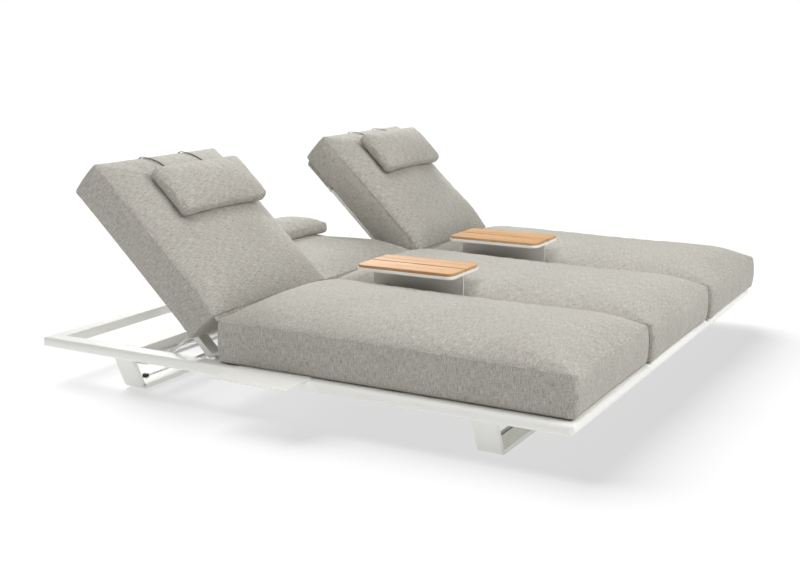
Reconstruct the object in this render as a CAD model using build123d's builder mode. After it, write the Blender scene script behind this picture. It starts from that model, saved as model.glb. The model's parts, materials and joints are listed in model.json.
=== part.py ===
# Triple outdoor lounge bed: three lounger modules on one low platform.
# Millimetres, +Z up, Z = 0 is the floor. +X is the foot end, -X the head end,
# +Y is away from the near lounger. The origin is the bottom centre of the whole
# bounding box, so the platform's own centre line stands at Y = OY (the side tray
# sticks out on the near side only).
from build123d import *
import math
import os

os.makedirs("parts", exist_ok=True)

# ------------------------------------------------------------------ driving sizes
XH = 1047.5            # half length of the platform
YH = 1080.0            # half width of the platform
RAIL_W = 65.0          # rail width, plan
RAIL_Z0, RAIL_Z1 = 127.0, 164.0
WALL = 2.5             # wall of the hollow extrusions
BULL_R = 15.0          # bullnose radius on the outer edges
CORNER_R = 22.0        # plan radius of the platform's corners
BEAM_W = 50.0          # beams between the modules
BEAM_Y = 360.0
TRAY_OUT = 1203.0      # outer edge of the side tray, from the centre line
OY = (TRAY_OUT - YH) / 2

BAR_T = 18.0           # leg bar thickness
LEG_W = 84.0           # leg bar width, along X
LEG_SLOPE = 0.432      # inward lean, dy per dz
LEG_Z0 = 3.0           # runner's underside, above the glide pads
HEAD_LEG_X = -711.0    # head leg's outer edge
FOOT_LEG_X = 711.0

CROSS_X0, CROSS_X1 = -702.0, -626.0      # wide flush crossbar at the head leg
FOOT_CROSS_X0, FOOT_CROSS_X1 = 715.0, 791.0
LOWER_X1 = -583.0                        # lower plate's foot-side edge

PIV_X, PIV_Z = -342.0, 175.5             # backrest pivot axis
HIN_X, HIN_Z = -257.0, 329.0             # fold line between seat and back cushion
THETA = 43.5                             # raised backrest, degrees above flat

BF_HALF = 290.0        # back frame half width
BF_BAR = 50.0          # back frame side bar width
BF_T = 22.0            # back frame bar thickness at the pivot
BF_TIP = 16.0          # bar thickness above the stay
BF_END = 600.0         # back frame length from the pivot

STAY_S, STAY_N = 88.0, -18.5             # stay pivot on the back frame
STAY_L = 133.0                           # stay length, pivot to foot rod
STAY_FOOT_Z = 143.0                      # level that the foot rod keeps
ROD_R = 5.5

CUSH_T = 142.0         # back cushion, underside to top seam
CUSH_L = 701.0
BACK_CROWN = 60.0
SEAT_HEAD = -253.0      # head face of the near and middle seat cushions
SEAT_SEAM = 311.0
SEAT_TOP = 377.0

PILLOW_S0, PILLOW_S1 = 366.0, 589.0
PILLOW_W = 480.0

TABLE_Z = 410.0        # underside of the table tray
TABLE_L, TABLE_W = 399.0, 240.0

# module: name, raised angle, leg centre, back frame centre, cushion centre,
#         cushion half width, pillow shift, inner rail faces, and how far the
#         backrest and the cushions sit towards the foot end
FAR_DX = 35.0
MODULES = [
    ("near", THETA, -712.0, -700.0, -709.0, 344.5, 18.0, -1015.0, -385.0, 0.0),
    ("middle", 0.0, 0.0, 0.0, 0.0, 354.0, 4.0, -335.0, 335.0, 0.0),
    ("far", THETA, 712.0, 700.0, 709.0, 344.5, 4.0, 385.0, 1015.0, FAR_DX),
]
SEAT_FOOT = {"near": 1038.0, "middle": 1047.0, "far": XH}   # foot face of each seat cushion
JOINT_GAP = 0.9        # open joint between the end rails of two modules


def back_dir(theta):
    """Unit vectors along the back (upwards) and normal to it (towards the user)."""
    c, s = math.cos(math.radians(theta)), math.sin(math.radians(theta))
    return Vector(-c, 0, s), Vector(s, 0, c)


def back_plane(px, pz, y, theta):
    """Plane of a side profile of the back: local x up the back, local y towards the user."""
    u, n = back_dir(theta)
    return Plane(origin=(px, y + OY, pz), x_dir=u, z_dir=(0, 1, 0))


def back_section(px, pz, y, theta, s):
    """Plane across the back at distance s: local x is -Y, local y towards the user."""
    u, n = back_dir(theta)
    return Plane(origin=Vector(px, y + OY, pz) + u * s, x_dir=(0, -1, 0), z_dir=u)


def plan_points(x0, x1, y0, y1, r=34.0, n=3):
    """Closed outline of a rectangle whose corners are turned in n short flats."""
    pts = []
    for cx, cy, a0 in ((x1 - r, y1 - r, 0), (x0 + r, y1 - r, 90), (x0 + r, y0 + r, 180), (x1 - r, y0 + r, 270)):
        for k in range(n + 1):
            a = math.radians(a0 + 90 * k / n)
            pts.append((cx + r * math.cos(a), cy + r * math.sin(a)))
    return pts + pts[:1]


# ------------------------------------------------------------------ platform rails
def rail_profile(outer, inner):
    """Rail section in the current sketch: bullnose on the outer side."""
    lo, hi = min(outer, inner), max(outer, inner)
    with Locations(((lo + hi) / 2, (RAIL_Z0 + RAIL_Z1) / 2)):
        r = Rectangle(hi - lo, RAIL_Z1 - RAIL_Z0)
    fillet([v for v in r.vertices() if abs(v.X - outer) < 1], BULL_R)
    fillet([v for v in vertices() if abs(v.X - inner) < 0.5], 2.5)


def bore_profile(outer, inner):
    """The rail's hollow in the current sketch, one wall inside the section."""
    lo, hi = min(outer, inner) + WALL, max(outer, inner) - WALL
    with Locations(((lo + hi) / 2, (RAIL_Z0 + RAIL_Z1) / 2)):
        r = Rectangle(hi - lo, RAIL_Z1 - RAIL_Z0 - 2 * WALL)
    fillet([v for v in r.vertices() if abs(v.X - outer) < WALL + 1], BULL_R - WALL)


def mitre(x, y, nx, ny):
    split(bisect_by=Plane(origin=(x, y + OY, 0), z_dir=(nx, ny, 0)), keep=Keep.TOP)


for name, sgn in (("near", -1), ("far", 1)):
    with BuildPart() as side_rail:
        with BuildSketch(Plane.YZ.offset(-XH)):
            rail_profile(sgn * YH + OY, sgn * (YH - RAIL_W) + OY)
        extrude(amount=2 * XH)
        mitre(-XH, sgn * YH, 1, sgn)
        mitre(XH, sgn * YH, -1, sgn)
        # rounded plan corners of the platform
        with BuildSketch(Plane.XY.offset(RAIL_Z0 - 10)):
            with Locations((0, OY)):
                RectangleRounded(2 * XH, 2 * YH, CORNER_R)
        extrude(amount=70, mode=Mode.INTERSECT)
        # the hollow, which keeps its wall round the corners too
        with BuildPart(mode=Mode.SUBTRACT):
            with BuildSketch(Plane.YZ.offset(-XH)):
                bore_profile(sgn * YH + OY, sgn * (YH - RAIL_W) + OY)
            extrude(amount=2 * XH)
            with BuildSketch(Plane.XY.offset(RAIL_Z0 - 10)):
                with Locations((0, OY)):
                    RectangleRounded(2 * (XH - WALL), 2 * (YH - WALL), CORNER_R - WALL)
            extrude(amount=70, mode=Mode.INTERSECT)
    side_rail.part.label = f"side_rail_{name}"
    export_step(side_rail.part, f"parts/side_rail_{name}.step")

BOLT_DY = 32.0
for end, sx in (("head", -1), ("foot", 1)):
    for name, ya, yb in (("near", -YH, -BEAM_Y), ("middle", -BEAM_Y, BEAM_Y), ("far", BEAM_Y, YH)):
        with BuildPart() as end_rail:
            y0 = ya + (0 if name == "near" else JOINT_GAP / 2)
            y1 = yb - (0 if name == "far" else JOINT_GAP / 2)
            with BuildSketch(Plane.XZ.offset(-(y1 + OY))):
                rail_profile(sx * XH, sx * (XH - RAIL_W))
            extrude(amount=y1 - y0)
            if name == "near":
                mitre(sx * XH, -YH, sx, 1)
            if name == "far":
                mitre(sx * XH, YH, sx, -1)
            if name != "middle":
                with BuildSketch(Plane.XY.offset(RAIL_Z0 - 10)):
                    with Locations((0, OY)):
                        RectangleRounded(2 * XH, 2 * YH, CORNER_R)
                extrude(amount=70, mode=Mode.INTERSECT)
            with BuildPart(mode=Mode.SUBTRACT):
                with BuildSketch(Plane.XZ.offset(-(yb + OY))):
                    bore_profile(sx * XH, sx * (XH - RAIL_W))
                extrude(amount=yb - ya)
                with BuildSketch(Plane.XY.offset(RAIL_Z0 - 10)):
                    with Locations((0, OY)):
                        RectangleRounded(2 * (XH - WALL), 2 * (YH - WALL), CORNER_R - WALL)
                extrude(amount=70, mode=Mode.INTERSECT)
            # bolt holes in the underside, beside each module joint
            holes = [y for y in (-BEAM_Y - BOLT_DY, -BEAM_Y + BOLT_DY, BEAM_Y - BOLT_DY, BEAM_Y + BOLT_DY) if ya < y < yb]
            with BuildSketch(Plane.XY.offset(RAIL_Z0 - 1)):
                with Locations(*[(sx * (XH - RAIL_W / 2), y + OY) for y in holes]):
                    Circle(3.2)
            extrude(amount=WALL + 2, mode=Mode.SUBTRACT)
        end_rail.part.label = f"{end}_rail_{name}"
        export_step(end_rail.part, f"parts/{end}_rail_{name}.step")

for name, y in (("near", -BEAM_Y), ("far", BEAM_Y)):
    with BuildPart() as centre_beam:
        with BuildSketch(Plane.YZ.offset(-(XH - RAIL_W))):
            with Locations((y + OY, (RAIL_Z0 + RAIL_Z1) / 2)):
                r = Rectangle(BEAM_W, RAIL_Z1 - RAIL_Z0)
            fillet(r.vertices(), 3)
            offset(amount=-WALL, mode=Mode.SUBTRACT)
        extrude(amount=2 * (XH - RAIL_W))
    centre_beam.part.label = f"centre_beam_{name}"
    export_step(centre_beam.part, f"parts/centre_beam_{name}.step")

# plates and button-head bolts under the module joints
with BuildPart() as rail_connectors:
    with BuildSketch(Plane.XY.offset(RAIL_Z0 - 4)):
        with Locations(*[(sx * (XH - RAIL_W / 2), sy * BEAM_Y + OY) for sx in (-1, 1) for sy in (-1, 1)]):
            RectangleRounded(44, 110, 6)
        with Locations(*[(sx * (XH - RAIL_W / 2), sy * BEAM_Y + d + OY)
                         for sx in (-1, 1) for sy in (-1, 1) for d in (-BOLT_DY, BOLT_DY)]):
            Circle(3.2, mode=Mode.SUBTRACT)
    extrude(amount=4)
rail_connectors.part.label = "rail_connectors"
export_step(rail_connectors.part, "parts/rail_connectors.step")

with BuildPart() as connector_bolts:
    for sx in (-1, 1):
        for sy in (-1, 1):
            for d in (-BOLT_DY, BOLT_DY):
                x, y = sx * (XH - RAIL_W / 2), sy * BEAM_Y + d + OY
                with BuildSketch(Plane.XY.offset(119.8)):
                    with Locations((x, y)):
                        Circle(5.5)
                extrude(amount=3.2)
                fillet(connector_bolts.edges(Select.LAST).group_by(Axis.Z)[0], 1.8)
                with BuildSketch(Plane.XY.offset(122.5)):
                    with Locations((x, y)):
                        Circle(3.0)
                extrude(amount=13.5)
connector_bolts.part.label = "connector_bolts"
export_step(connector_bolts.part, "parts/connector_bolts.step")

# ------------------------------------------------------------------ crossbars and slats
for name, theta, leg_y, bf_y, cu_y, cu_half, pil_dy, ya, yb, dx in MODULES:
    with BuildPart() as head_crossbar:
        with BuildSketch(Plane.XZ.offset(-(yb + OY))):
            with Locations(((CROSS_X0 + CROSS_X1) / 2, (RAIL_Z0 + RAIL_Z1) / 2)):
                r = Rectangle(CROSS_X1 - CROSS_X0, RAIL_Z1 - RAIL_Z0)
            fillet(r.vertices(), 2.5)
            offset(amount=-WALL, mode=Mode.SUBTRACT)
        extrude(amount=yb - ya)
    head_crossbar.part.label = f"head_crossbar_{name}"
    export_step(head_crossbar.part, f"parts/head_crossbar_{name}.step")

with BuildPart() as foot_crossbars:
    for name, theta, leg_y, bf_y, cu_y, cu_half, pil_dy, ya, yb, dx in MODULES:
        with BuildSketch(Plane.XZ.offset(-(yb + OY))):
            with Locations(((FOOT_CROSS_X0 + FOOT_CROSS_X1) / 2, (RAIL_Z0 + RAIL_Z1) / 2)):
                r = Rectangle(FOOT_CROSS_X1 - FOOT_CROSS_X0, RAIL_Z1 - RAIL_Z0)
            fillet(r.vertices(), 2.5)
            offset(amount=-WALL, mode=Mode.SUBTRACT)
        extrude(amount=yb - ya)
foot_crossbars.part.label = "foot_crossbars"
export_step(foot_crossbars.part, "parts/foot_crossbars.step")

# lower plate between the arms of each head leg, reaching past them to the foot side
with BuildPart() as lower_crossbars:
    for name, theta, leg_y, bf_y, cu_y, cu_half, pil_dy, ya, yb, dx in MODULES:
        y0, y1 = ya - 15, yb + 15
        if name == "near":
            y1 = yb - 7
        if name == "middle":
            y0, y1 = ya + 12, yb - 12
        if name == "far":
            y0 = ya + 7
        with BuildSketch(Plane.XZ.offset(-(y1 + OY))):
            with Locations(((HEAD_LEG_X + 4 + LOWER_X1) / 2, RAIL_Z0 - 9)):
                r = Rectangle(LOWER_X1 - HEAD_LEG_X - 4, 18)
            fillet(r.vertices(), 2.5)
            offset(amount=-WALL, mode=Mode.SUBTRACT)
        extrude(amount=y1 - y0)
lower_crossbars.part.label = "lower_crossbars"
export_step(lower_crossbars.part, "parts/lower_crossbars.step")

# tube under the backrest pivots
with BuildPart() as pivot_crossbars:
    for name, theta, leg_y, bf_y, cu_y, cu_half, pil_dy, ya, yb, dx in MODULES:
        with BuildSketch(Plane.XZ.offset(-(yb + OY))):
            with Locations((PIV_X + dx, 138.5)):
                r = Rectangle(60, 23)
            fillet(r.vertices(), 2.5)
            offset(amount=-WALL, mode=Mode.SUBTRACT)
        extrude(amount=yb - ya)
pivot_crossbars.part.label = "pivot_crossbars"
export_step(pivot_crossbars.part, "parts/pivot_crossbars.step")

SLAT_X = [-225, -95, 35, 165, 295, 425, 555, 665, 840, 930]
with BuildPart() as seat_slats:
    for name, theta, leg_y, bf_y, cu_y, cu_half, pil_dy, ya, yb, dx in MODULES:
        with BuildSketch(Plane.XZ.offset(-(yb + OY))):
            with Locations(*[(x, RAIL_Z1 - 7) for x in SLAT_X]):
                RectangleRounded(60, 14, 3)
                RectangleRounded(57, 11, 1.5, mode=Mode.SUBTRACT)
        extrude(amount=yb - ya)
seat_slats.part.label = "seat_slats"
export_step(seat_slats.part, "parts/seat_slats.step")

# ------------------------------------------------------------------ sled legs and glides
GLIDE_DX, GLIDE_DY = 16.0, 205.0
for end, x0 in (("head", HEAD_LEG_X), ("foot", FOOT_LEG_X)):
    for name, theta, leg_y, bf_y, cu_y, cu_half, pil_dy, ya, yb, dx in MODULES:
        top = 350.0 if name != "middle" else 356.0
        h = RAIL_Z0 - LEG_Z0
        t_h = BAR_T * math.sqrt(1 + LEG_SLOPE ** 2)      # arm thickness along Y
        bot_o = top - h * LEG_SLOPE
        bot_i = top - t_h - (h - BAR_T) * LEG_SLOPE
        with BuildPart() as sled_leg:
            with BuildSketch(Plane.YZ.offset(x0)):
                with BuildLine():
                    FilletPolyline((leg_y + OY - top, RAIL_Z0), (leg_y + OY - bot_o, LEG_Z0),
                                   (leg_y + OY + bot_o, LEG_Z0), (leg_y + OY + top, RAIL_Z0), radius=30)
                    FilletPolyline((leg_y + OY - top + t_h, RAIL_Z0), (leg_y + OY - bot_i, LEG_Z0 + BAR_T),
                                   (leg_y + OY + bot_i, LEG_Z0 + BAR_T), (leg_y + OY + top - t_h, RAIL_Z0), radius=13)
                    Line((leg_y + OY - top, RAIL_Z0), (leg_y + OY - top + t_h, RAIL_Z0))
                    Line((leg_y + OY + top, RAIL_Z0), (leg_y + OY + top - t_h, RAIL_Z0))
                make_face()
            extrude(amount=LEG_W)
            with Locations(*[Location((x0 + GLIDE_DX, leg_y + OY + s * GLIDE_DY, LEG_Z0 + BAR_T)) for s in (-1, 1)]):
                Hole(radius=4.1, depth=BAR_T + 2)
        sled_leg.part.label = f"{end}_leg_{name}"
        export_step(sled_leg.part, f"parts/{end}_leg_{name}.step")

with BuildPart() as levelling_glides:
    for x0 in (HEAD_LEG_X, FOOT_LEG_X):
        for name, theta, leg_y, bf_y, cu_y, cu_half, pil_dy, ya, yb, dx in MODULES:
            for s in (-1, 1):
                x, y = x0 + GLIDE_DX, leg_y + OY + s * GLIDE_DY
                with BuildSketch(Plane.XY):
                    with Locations((x, y)):
                        Circle(15.5)
                extrude(amount=LEG_Z0)
                fillet(levelling_glides.edges(Select.LAST).group_by(Axis.Z)[0], 1)
                with BuildSketch(Plane.XY.offset(LEG_Z0 + BAR_T)):
                    with Locations((x, y)):
                        Circle(12.5)
                extrude(amount=11.5)
                fillet(levelling_glides.edges(Select.LAST).group_by(Axis.Z)[-1], 6.5)
                with BuildSketch(Plane.XY.offset(LEG_Z0 - 0.5)):
                    with Locations((x, y)):
                        Circle(4.0)
                extrude(amount=BAR_T + 1)
levelling_glides.part.label = "levelling_glides"
export_step(levelling_glides.part, "parts/levelling_glides.step")

# ------------------------------------------------------------------ backrest frames, pivots, stays
EAR_Y, EAR_T = 232.0, 6.0
with BuildPart() as pivot_brackets:
    for name, theta, leg_y, bf_y, cu_y, cu_half, pil_dy, ya, yb, dx in MODULES:
        for s in (-1, 1):
            y_hi = bf_y + OY + (EAR_Y + EAR_T if s > 0 else -EAR_Y)
            with BuildSketch(Plane.XZ.offset(-y_hi)):
                with BuildLine():
                    px = PIV_X + dx
                    Polyline((px + 11, PIV_Z), (px + 11, 158), (px + 24, 150),
                             (px - 24, 150), (px - 11, 158), (px - 11, PIV_Z))
                    ThreePointArc((px - 11, PIV_Z), (px, PIV_Z + 11), (px + 11, PIV_Z))
                make_face()
                with Locations((px, PIV_Z)):
                    Circle(4.0, mode=Mode.SUBTRACT)
            extrude(amount=EAR_T)
pivot_brackets.part.label = "pivot_brackets"
export_step(pivot_brackets.part, "parts/pivot_brackets.step")

with BuildPart() as pivot_pins:
    for name, theta, leg_y, bf_y, cu_y, cu_half, pil_dy, ya, yb, dx in MODULES:
        for s in (-1, 1):
            # head inboard of the ear, shank through the ear into the side bar
            y_in = bf_y + OY + s * (EAR_Y - 3)
            with BuildSketch(Plane(origin=(PIV_X + dx, y_in, PIV_Z), x_dir=(1, 0, 0), z_dir=(0, s, 0))):
                Circle(7)
            extrude(amount=3)
            with BuildSketch(Plane(origin=(PIV_X + dx, y_in, PIV_Z), x_dir=(1, 0, 0), z_dir=(0, s, 0))):
                Circle(4)
            extrude(amount=3 + EAR_T + 38)
pivot_pins.part.label = "pivot_pins"
export_step(pivot_pins.part, "parts/pivot_pins.step")

for name, theta, leg_y, bf_y, cu_y, cu_half, pil_dy, ya, yb, dx in MODULES:
    u, n = back_dir(theta)
    yc = bf_y + OY
    piv = Vector(PIV_X + dx, yc, PIV_Z)
    with BuildPart() as backrest_frame:
        # side bars, rounded about the pivot
        for s in (-1, 1):
            y_start = bf_y + s * (BF_HALF - BF_BAR / 2) - BF_BAR / 2
            with BuildSketch(back_plane(PIV_X + dx, PIV_Z, y_start, theta)):
                with BuildLine():
                    low = BF_T / 2 - BF_TIP
                    Polyline((-9, -BF_T / 2), (128, -BF_T / 2), (158, low), (BF_END, low), (BF_END, BF_T / 2), (-9, BF_T / 2))
                    ThreePointArc((-9, BF_T / 2), (-20, 0), (-9, -BF_T / 2))
                make_face()
            extrude(amount=BF_BAR)
        # top bar and slats
        with BuildSketch(back_plane(PIV_X + dx, PIV_Z, bf_y - BF_HALF + 10, theta)):
            with Locations((BF_END - 22, (BF_T - BF_TIP) / 2)):
                Rectangle(44, BF_TIP)
        extrude(amount=2 * BF_HALF - 20)
        with BuildSketch(back_plane(PIV_X + dx, PIV_Z, bf_y - BF_HALF + 30, theta)):
            with Locations((150, 4), (275, 4), (400, 4)):
                Rectangle(44, 14)
        extrude(amount=2 * BF_HALF - 60)
        # rounded upper corners
        corner = [e for e in backrest_frame.edges()
                  if abs(e.length - BF_TIP) < 0.1
                  and abs((e.center() - piv).dot(u) - BF_END) < 0.5
                  and abs(abs(e.center().Y - yc) - BF_HALF) < 0.5]
        fillet(corner, 26)
        # lugs for the stay, on the underside of the side bars
        for s in (-1, 1):
            y_start = bf_y + (276 if s > 0 else -282)
            with BuildSketch(back_plane(PIV_X + dx, PIV_Z, y_start, theta)):
                with BuildLine():
                    Polyline((STAY_S - 9, STAY_N), (STAY_S - 13, -BF_T / 2 + 0.5), (STAY_S + 13, -BF_T / 2 + 0.5), (STAY_S + 9, STAY_N))
                    ThreePointArc((STAY_S + 9, STAY_N), (STAY_S, STAY_N - 9), (STAY_S - 9, STAY_N))
                make_face()
            extrude(amount=6)
            with BuildSketch(back_plane(PIV_X + dx, PIV_Z, y_start - 1, theta)):
                with Locations((STAY_S, STAY_N)):
                    Circle(ROD_R + 0.08)
            extrude(amount=8, mode=Mode.SUBTRACT)
            # blind pivot bore in the side bar, open towards the ear
            y_bore = bf_y + s * (BF_HALF - BF_BAR)
            with BuildSketch(Plane(origin=(PIV_X + dx, y_bore + OY, PIV_Z), x_dir=(1, 0, 0), z_dir=(0, s, 0))):
                Circle(4.05)
            extrude(amount=40, mode=Mode.SUBTRACT)
    backrest_frame.part.label = f"backrest_frame_{name}"
    export_step(backrest_frame.part, f"parts/backrest_frame_{name}.step")

    # stay: one bent rod with its foot across the module
    apex = piv + u * STAY_S + n * STAY_N
    sin_f = (apex.Z - STAY_FOOT_Z) / STAY_L
    foot = Vector(apex.X - STAY_L * math.sqrt(1 - sin_f ** 2), yc, STAY_FOOT_Z)
    arm_y, tip_y = 297.0, 268.0
    with BuildPart() as backrest_stay:
        with BuildLine() as rod_path:
            FilletPolyline((apex.X, yc - tip_y, apex.Z), (apex.X, yc - arm_y, apex.Z),
                           (foot.X, yc - arm_y, foot.Z), (foot.X, yc + arm_y, foot.Z),
                           (apex.X, yc + arm_y, apex.Z), (apex.X, yc + tip_y, apex.Z), radius=11)
        with BuildSketch(Plane(origin=rod_path.line @ 0, z_dir=rod_path.line % 0)):
            Circle(ROD_R)
        sweep()
    backrest_stay.part.label = f"backrest_stay_{name}"
    export_step(backrest_stay.part, f"parts/backrest_stay_{name}.step")
    print(name, "stay: apex", round(apex.X, 2), round(apex.Z, 2), "foot", round(foot.X, 2), round(foot.Z, 2),
          "angle", round(math.degrees(math.asin(sin_f)), 3))

# notched racks under the stay feet, on the underside of rails and beams
with BuildPart() as stay_racks:
    for name, theta, leg_y, bf_y, cu_y, cu_half, pil_dy, ya, yb, dx in MODULES:
        for s in (-1, 1):
            y_web = bf_y + (279 if s > 0 else -284)
            if name == "middle":
                reach = 358
            else:
                reach = 350 if (s < 0) == (name == "near") else 338
            top = 136.2
            pts = [(-576 + dx, 123), (-576 + dx, top)]
            for k in range(6):
                x = -568 + dx + 14 * k
                pts += [(x - 5, top), (x - 3, top - 5), (x + 3, top - 5), (x + 5, top)]
            pts += [(-484 + dx, top), (-484 + dx, 123), (-576 + dx, 123)]
            with BuildSketch(Plane.XZ.offset(-(y_web + 5 + OY))):
                with BuildLine():
                    Polyline(*pts)
                make_face()
            extrude(amount=5)
            lo, hi = sorted((bf_y + s * 279, bf_y + s * reach))
            with BuildSketch(Plane.XY.offset(123)):
                with Locations(((-576 - 484) / 2 + dx, (lo + hi) / 2 + OY)):
                    Rectangle(92, hi - lo)
            extrude(amount=4)
stay_racks.part.label = "stay_racks"
export_step(stay_racks.part, "parts/stay_racks.step")

# ------------------------------------------------------------------ seat cushions
for name, theta, leg_y, bf_y, cu_y, cu_half, pil_dy, ya, yb, dx in MODULES:
    yc = cu_y + OY
    x0, x1 = SEAT_HEAD + dx, SEAT_FOOT[name]
    with BuildPart() as seat_cushion:
        with BuildSketch(Plane.XY.offset(RAIL_Z1 - 1)):
            with BuildLine():
                Polyline(*plan_points(x0, x1, yc - cu_half, yc + cu_half))
            make_face()
        extrude(amount=260)
        # lengthwise profile: seam a little higher at the head end, crowned between
        with BuildSketch(Plane.XZ.offset(-(yc + cu_half + 5))):
            with BuildLine():
                b0, r = 164.2, 26
                Line((x0 + r, b0), (x1 - r, b0))
                ThreePointArc((x1 - r, b0), (x1 - r * 0.293, b0 + r * 0.293), (x1, b0 + r))
                Line((x1, b0 + r), (x1, 304))
                ThreePointArc((x1, 304), (x1 - 95, 352), (x1 - 240, 373))
                Line((x1 - 240, 373), (x0 + 220, SEAT_TOP + 4))
                ThreePointArc((x0 + 220, SEAT_TOP + 4), (x0 + 100, 362), (x0, 317))
                Line((x0, 317), (x0, b0 + r))
                ThreePointArc((x0, b0 + r), (x0 + r * 0.293, b0 + r * 0.293), (x0 + r, b0))
            make_face()
        extrude(amount=2 * cu_half + 10, mode=Mode.INTERSECT)
        # crosswise profile: domed top, underside raised over the rails
        with BuildSketch(Plane.YZ.offset(x0 - 5)):
            with BuildLine():
                w, e = cu_half, 168.4
                Polyline((yc - 228, 164.2), (yc + 228, 164.2), (yc + 268, e), (yc + w - 24, e))
                ThreePointArc((yc + w - 24, e), (yc + w - 24 * 0.293, e + 24 * 0.293), (yc + w, e + 24))
                Line((yc + w, e + 24), (yc + w, SEAT_SEAM))
                ThreePointArc((yc + w, SEAT_SEAM), (yc, SEAT_TOP + 4.6), (yc - w, SEAT_SEAM))
                Line((yc - w, SEAT_SEAM), (yc - w, e + 24))
                ThreePointArc((yc - w, e + 24), (yc - w + 24 * 0.293, e + 24 * 0.293), (yc - w + 24, e))
                Polyline((yc - w + 24, e), (yc - 268, e), (yc - 228, 164.2))
            make_face()
        extrude(amount=x1 - x0 + 10, mode=Mode.INTERSECT)
    seat_cushion.part.label = f"seat_cushion_{name}"
    export_step(seat_cushion.part, f"parts/seat_cushion_{name}.step")

# ------------------------------------------------------------------ back cushions, pockets, straps, pillows
CROWN_RUN = 200.0
CROWN_R = (CROWN_RUN ** 2 + BACK_CROWN ** 2) / (2 * BACK_CROWN)


def crown_pt(s, grow=0.0):
    """Height above the seam plane of the upper end arc, grown outwards."""
    ds = s - (CUSH_L - CROWN_RUN)
    return BACK_CROWN - CROWN_R + math.sqrt((CROWN_R + grow) ** 2 - ds ** 2)


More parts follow.
